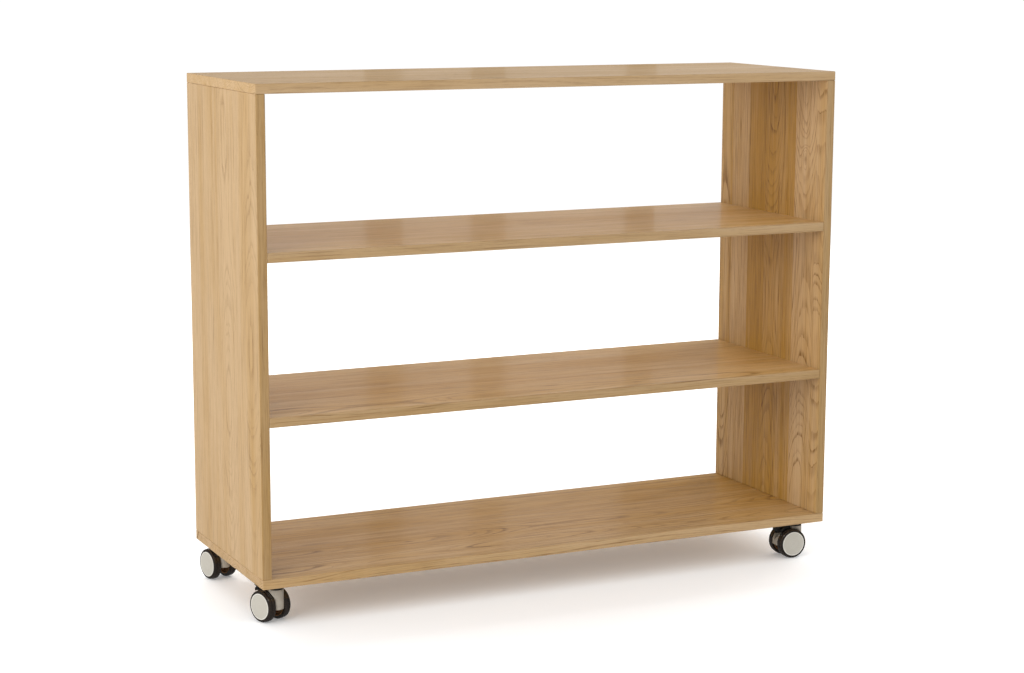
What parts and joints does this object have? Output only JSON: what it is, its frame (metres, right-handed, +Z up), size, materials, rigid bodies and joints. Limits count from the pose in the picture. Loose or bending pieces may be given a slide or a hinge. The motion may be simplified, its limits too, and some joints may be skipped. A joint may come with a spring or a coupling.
{
  "type": "mobile book cart",
  "caption": "Open solid-oak bookcase on wheels: top, bottom, sides and shelves of edge-glued boards, twin-wheel swivel castors, foot brakes on the front pair.",
  "frame": {"origin": "on the floor, under the middle of the case", "axes": "+X along the cart to its right-hand end, +Y from its front to its back, +Z up"},
  "size_m": [1.2, 0.4074, 0.987],
  "materials": {
    "oak": "satin lacquered edge-glued oak",
    "dowel": "raw beech",
    "plate": "black powder coat",
    "bearing": "black, pressed steel cups",
    "zinc_steel": "zinc plated",
    "housing": "light grey satin paint on a zinc casting",
    "hub": "dark brown moulded nylon",
    "tyre": "glossy black polyurethane",
    "cap": "light grey moulded plastic",
    "brake": "black moulded nylon"
  },
  "bodies": {
    "case": {"top_board": "oak", "bottom_board": "oak", "left_side": "oak", "right_side": "oak", "lower_shelf": "oak", "upper_shelf": "oak", "case_dowels": "dowel", "shelf_dowels": "dowel", "front_left_mounting_plate": "plate", "front_left_plate_screws": "zinc_steel", "front_left_kingpin": "zinc_steel", "front_left_swivel_bearing": "bearing", "back_left_mounting_plate": "plate", "back_left_plate_screws": "zinc_steel", "back_left_kingpin": "zinc_steel", "back_left_swivel_bearing": "bearing", "front_right_mounting_plate": "plate", "front_right_plate_screws": "zinc_steel", "front_right_kingpin": "zinc_steel", "front_right_swivel_bearing": "bearing", "back_right_mounting_plate": "plate", "back_right_plate_screws": "zinc_steel", "back_right_kingpin": "zinc_steel", "back_right_swivel_bearing": "bearing"},
    "front_left_swivel_head": {"front_left_housing": "housing", "front_left_axle": "zinc_steel"},
    "front_left_right_wheel": {"front_left_right_wheel_hub": "hub", "front_left_right_wheel_tyre": "tyre", "front_left_right_wheel_cap": "cap"},
    "front_left_left_wheel": {"front_left_left_wheel_hub": "hub", "front_left_left_wheel_tyre": "tyre", "front_left_left_wheel_cap": "cap"},
    "front_left_brake": {"front_left_brake_lever": "brake", "front_left_brake_pin": "zinc_steel"},
    "back_left_swivel_head": {"back_left_housing": "housing", "back_left_axle": "zinc_steel"},
    "back_left_right_wheel": {"back_left_right_wheel_hub": "hub", "back_left_right_wheel_tyre": "tyre", "back_left_right_wheel_cap": "cap"},
    "back_left_left_wheel": {"back_left_left_wheel_hub": "hub", "back_left_left_wheel_tyre": "tyre", "back_left_left_wheel_cap": "cap"},
    "front_right_swivel_head": {"front_right_housing": "housing", "front_right_axle": "zinc_steel"},
    "front_right_right_wheel": {"front_right_right_wheel_hub": "hub", "front_right_right_wheel_tyre": "tyre", "front_right_right_wheel_cap": "cap"},
    "front_right_left_wheel": {"front_right_left_wheel_hub": "hub", "front_right_left_wheel_tyre": "tyre", "front_right_left_wheel_cap": "cap"},
    "front_right_brake": {"front_right_brake_lever": "brake", "front_right_brake_pin": "zinc_steel"},
    "back_right_swivel_head": {"back_right_housing": "housing", "back_right_axle": "zinc_steel"},
    "back_right_right_wheel": {"back_right_right_wheel_hub": "hub", "back_right_right_wheel_tyre": "tyre", "back_right_right_wheel_cap": "cap"},
    "back_right_left_wheel": {"back_right_left_wheel_hub": "hub", "back_right_left_wheel_tyre": "tyre", "back_right_left_wheel_cap": "cap"}
  },
  "joints": [
    {"name": "front_left_swivel", "type": "hinge", "parent": "case", "child": "front_left_swivel_head", "pos_m": [-0.56, -0.157, 0.075], "axis": [0, 0, 1], "continuous": true},
    {"name": "front_left_right_wheel_spin", "type": "hinge", "parent": "front_left_swivel_head", "child": "front_left_right_wheel", "pos_m": [-0.56609, -0.14113, 0.03], "axis": [0.9336, 0.3584, 0], "continuous": true},
    {"name": "front_left_left_wheel_spin", "type": "hinge", "parent": "front_left_swivel_head", "child": "front_left_left_wheel", "pos_m": [-0.56609, -0.14113, 0.03], "axis": [0.9336, 0.3584, 0], "continuous": true},
    {"name": "front_left_brake_press", "type": "hinge", "parent": "front_left_swivel_head", "child": "front_left_brake", "pos_m": [-0.56717, -0.13833, 0.057], "axis": [0.9336, 0.3584, 0], "range_deg": [-10, 0]},
    {"name": "back_left_swivel", "type": "hinge", "parent": "case", "child": "back_left_swivel_head", "pos_m": [-0.56, 0.157, 0.075], "axis": [0, 0, 1], "continuous": true},
    {"name": "back_left_right_wheel_spin", "type": "hinge", "parent": "back_left_swivel_head", "child": "back_left_right_wheel", "pos_m": [-0.56397, 0.17353, 0.03], "axis": [0.9724, 0.2334, 0], "continuous": true},
    {"name": "back_left_left_wheel_spin", "type": "hinge", "parent": "back_left_swivel_head", "child": "back_left_left_wheel", "pos_m": [-0.56397, 0.17353, 0.03], "axis": [0.9724, 0.2334, 0], "continuous": true},
    {"name": "front_right_swivel", "type": "hinge", "parent": "case", "child": "front_right_swivel_head", "pos_m": [0.56, -0.157, 0.075], "axis": [0, 0, 1], "continuous": true},
    {"name": "front_right_right_wheel_spin", "type": "hinge", "parent": "front_right_swivel_head", "child": "front_right_right_wheel", "pos_m": [0.54301, -0.15641, 0.03], "axis": [0.0349, 0.9994, 0], "continuous": true},
    {"name": "front_right_left_wheel_spin", "type": "hinge", "parent": "front_right_swivel_head", "child": "front_right_left_wheel", "pos_m": [0.54301, -0.15641, 0.03], "axis": [0.0349, 0.9994, 0], "continuous": true},
    {"name": "front_right_brake_press", "type": "hinge", "parent": "front_right_swivel_head", "child": "front_right_brake", "pos_m": [0.54001, -0.1563, 0.057], "axis": [0.0349, 0.9994, 0], "range_deg": [-10, 0]},
    {"name": "back_right_swivel", "type": "hinge", "parent": "case", "child": "back_right_swivel_head", "pos_m": [0.56, 0.157, 0.075], "axis": [0, 0, 1], "continuous": true},
    {"name": "back_right_right_wheel_spin", "type": "hinge", "parent": "back_right_swivel_head", "child": "back_right_right_wheel", "pos_m": [0.54698, 0.16793, 0.03], "axis": [0.6428, 0.766, 0], "continuous": true},
    {"name": "back_right_left_wheel_spin", "type": "hinge", "parent": "back_right_swivel_head", "child": "back_right_left_wheel", "pos_m": [0.54698, 0.16793, 0.03], "axis": [0.6428, 0.766, 0], "continuous": true}
  ]
}
